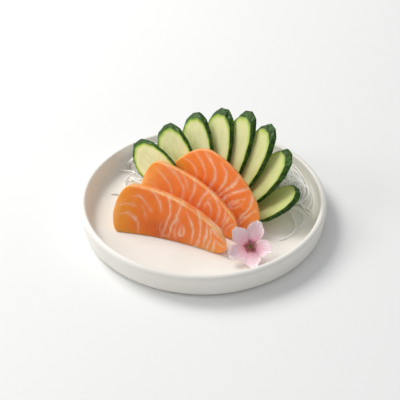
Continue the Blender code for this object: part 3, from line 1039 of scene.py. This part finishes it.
def petal(index):
    """One petal as a closed thin leaf: broad past its middle, cupped, with a waved and notched end.

    Its width is a power of a sine along it. Its end is drawn in at the sides and at a bell-shaped notch.
    Its height is a power curve plus the roll of its sides, a slow wave and fine pleats.
    """
    rows, columns = 46, 33
    share = np.linspace(0.0, 1.0, rows)[:, None]
    across = np.linspace(-1.0, 1.0, columns)[None, :]
    length, turn_deg = PETALS[index]
    half_width = PETAL_HALF_WIDTH * np.sin(pi * (0.05 + 0.74 * share**1.15)) ** 0.9
    notch = 0.6 * share**8 * bell(across, 0.2)
    shoulder = 3.8 * share**3 * np.abs(across) ** 2.3
    out = PETAL_FOOT + (length - PETAL_FOOT) * share - notch - shoulder
    side = half_width * across * (1 - 0.1 * share * across**2)
    sway = 0.5 * np.sin(5.0 * across + 2.0 * index) * share**3
    pleats = 0.15 * np.cos(14 * across) * share**2
    cup = 3.6 * share**1.8 + 1.5 * across**2 * share + sway + pleats
    vein = np.abs(np.sin(9.0 * across * (1 + 0.5 * share)))
    vein = bell(vein, 0.28) * ease(1.0, 0.55, share) * (1 - np.abs(across) ** 3)
    thickness = 0.38 * (1 - 0.7 * np.abs(across) ** 6) * (1 - 0.7 * share**8)
    top = np.stack([out + 0 * cup, side + 0 * out, cup], axis=-1)
    under = top - thickness[..., None] * UP
    loop = np.concatenate([top, under[:, ::-1]], axis=1)
    loop = blossom_place(loop @ turn_about_z(radians(turn_deg)).T)
    outward = np.broadcast_to(share, (rows, columns))
    fields = {
        "outward": np.concatenate([outward, outward], axis=1).ravel(),
        "vein": np.concatenate([vein, vein[:, ::-1]], axis=1).ravel(),
    }
    walls = ring_quads(rows, 2 * columns)
    here = np.arange(columns - 1)
    cap = np.stack([here, here + 1, 2 * columns - 2 - here, 2 * columns - 1 - here], axis=-1)
    quads = np.concatenate([walls, cap[:, ::-1], cap + (rows - 1) * 2 * columns])
    return (loop * MM).reshape(-1, 3), quads, np.zeros((0, 3), dtype=int), fields


def stamens():
    """Filaments that spread from the middle, each a power curve that ends in a bell-shaped bead."""
    draw = np.random.default_rng(320)
    skins = []
    for index in range(STAMEN_COUNT):
        angle = 2.4 * index
        spread = draw.uniform(0.6, 4.6)
        reach = draw.uniform(3.4, 5.6)
        t = np.linspace(0, 1, 9)
        radius = 0.13 - 0.04 * t
        bead = bell(t - 0.97, 0.09)
        out = 0.5 + spread * t**1.2
        path = np.stack([out * cos(angle), out * sin(angle), 0.6 + reach * t], axis=-1)
        path = blossom_place(path)
        fields = {"outward": t, "anther": ease(0.3, 0.6, bead)}
        skins.append(tube_skin(path * MM, (radius + 0.22 * bead) * MM, 6, fields))
    return joined(skins)


def calyx():
    """Cup behind the petals and a short bent stalk: a strand with a bell-shaped swelling."""
    t = np.linspace(0, 1, 26)
    path = np.stack([0.4 * np.sin(2 * t), 0.8 * t**2, 1.2 - 5.0 * t], axis=-1)
    radius = 0.65 + 1.5 * bell(t - 0.12, 0.16)
    return tube_skin(blossom_place(path) * MM, radius * MM, 16, {})


def blossom():
    """Five petals, the stamens and the cup behind them."""
    leaves = joined([petal(index) for index in range(len(PETALS))])
    petals = put_mesh("blossom_petals", leaves, petal_skin())
    tuft = put_mesh("blossom_stamens", stamens(), stamen_skin())
    cup = put_mesh("blossom_calyx", calyx(), calyx_skin())
    for piece in (petals, tuft, cup):
        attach(piece, "root")
    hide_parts("blossom")


# Studio


def studio():
    """Pale floor and sky, a broad lamp behind at the left, two weak ones at the left, and the camera."""
    scene = bpy.context.scene
    scene.view_settings.view_transform = "Standard"
    mesh = bpy.data.meshes.new("floor")
    half = 3.0
    corners = [(-half, -half, 0), (half, -half, 0), (half, half, 0), (-half, half, 0)]
    mesh.from_pydata(corners, [], [(0, 1, 2, 3)])
    mesh.materials.append(studio_card())
    floor = add_object("floor", mesh)
    world = bpy.data.worlds.new("studio")
    world.use_nodes = True
    sky = world.node_tree.nodes["Background"]
    sky.inputs["Color"].default_value = (0.96, 0.98, 1.0, 1.0)
    sky.inputs["Strength"].default_value = 0.44
    scene.world = world
    lamp("window", (-1.02, 0.88, 1.42), 0.95, 27.4, (1.0, 0.99, 0.975))
    lamp("fill", (-0.6, -0.7, 1.2), 0.8, 0.9, (1.0, 0.99, 0.98))
    lamp("side", (-1.3, -0.05, 0.75), 0.5, 3.8, (1.0, 0.985, 0.96))
    camera()


def lamp(name, place, size, power, color):
    """A square area lamp that faces a point just over the middle of the dish."""
    light = bpy.data.lights.new(name, "AREA")
    light.size = size
    light.energy = power
    light.color = color
    holder = add_object(name, light)
    holder.location = place
    holder.rotation_euler = (Vector((0, 0, 0.02)) - Vector(place)).to_track_quat("-Z", "Y").to_euler()


def camera():
    """Looks down from the diner's side, seven dish radii away, with a slight roll."""
    distance = 7 * DISH_RADIUS
    rise = radians(38.6)
    place = Vector((0, -cos(rise), sin(rise))) * distance
    aim = Vector((-2.27, 6.5, 8.1)) * MM
    view = bpy.data.cameras.new("camera")
    view.lens = 76.3
    view.sensor_width = 36.0
    view.clip_start = 0.01
    holder = add_object("camera", view)
    roll = Matrix.Rotation(radians(-0.55), 4, "Z")
    look = (aim - place).to_track_quat("-Z", "Y").to_matrix().to_4x4()
    holder.matrix_world = Matrix.Translation(place) @ look @ roll
    bpy.context.scene.camera = holder


dish()
salmon()
cucumber_fan()
daikon()
blossom()
studio()
